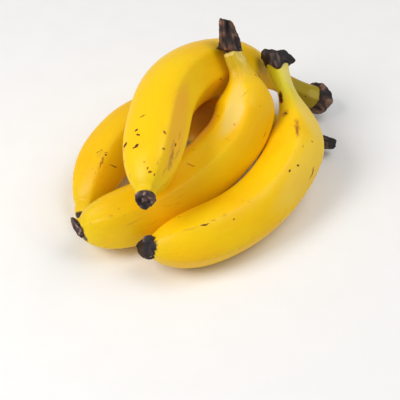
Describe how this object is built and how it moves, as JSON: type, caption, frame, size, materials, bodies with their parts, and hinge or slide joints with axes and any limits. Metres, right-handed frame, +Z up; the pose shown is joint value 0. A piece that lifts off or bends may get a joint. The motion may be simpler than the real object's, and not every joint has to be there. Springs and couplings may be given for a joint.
{
  "type": "bunch of bananas",
  "caption": "Loose ripe bananas piled on a table, curved five-ridged fruits with dried blossom ends and short torn stems.",
  "frame": {"origin": "middle of the pile's footprint, on the surface it rests on", "axes": "+Z up; +X to the right and +Y away, seen from the side where the blossom ends point"},
  "size_m": [0.169, 0.1646, 0.0929],
  "materials": {
    "front_banana_skin": "satin yellow peel, greenish at the neck, dark dried ends, small brown marks",
    "middle_banana_skin": "satin yellow peel with a brown torn stem and a dark blossom end",
    "top_banana_skin": "satin yellow peel with brown specks, an olive neck and dark ends",
    "back_banana_skin": "satin deep yellow peel with brown specks and dark dried ends"
  },
  "bodies": {
    "root": {"front_banana": "front_banana_skin", "middle_banana": "middle_banana_skin", "top_banana": "top_banana_skin", "back_banana": "back_banana_skin"}
  },
  "joints": []
}
